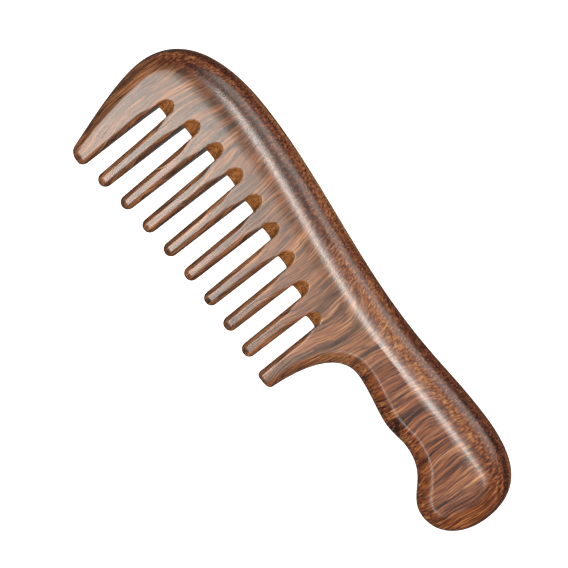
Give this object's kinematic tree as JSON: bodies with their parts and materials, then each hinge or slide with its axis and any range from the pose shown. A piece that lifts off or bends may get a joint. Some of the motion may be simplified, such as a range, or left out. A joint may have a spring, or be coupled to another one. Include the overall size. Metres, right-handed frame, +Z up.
{
  "type": "wide tooth comb",
  "caption": "Wooden wide tooth comb: a wedge-shaped board with a row of long rounded teeth and a bulbous handle in line with its thick rounded back.",
  "frame": {"origin": "centre of the comb's outline in plan, on the surface that its lower face rests on", "axes": "+X along the back from the head to the handle's end, +Y across the comb from the tooth tips towards the back, +Z up from the lower face"},
  "size_m": [0.1938, 0.062, 0.0134],
  "materials": {
    "polished_hardwood": "dark reddish-brown hardwood, sanded fine, oiled and buffed to a soft gloss"
  },
  "bodies": {
    "root": {"spine": "polished_hardwood", "handle": "polished_hardwood", "guard_tooth_head": "polished_hardwood", "tooth_2": "polished_hardwood", "tooth_3": "polished_hardwood", "tooth_4": "polished_hardwood", "tooth_5": "polished_hardwood", "tooth_6": "polished_hardwood", "tooth_7": "polished_hardwood", "tooth_8": "polished_hardwood", "tooth_9": "polished_hardwood", "guard_tooth_handle": "polished_hardwood"}
  },
  "joints": []
}
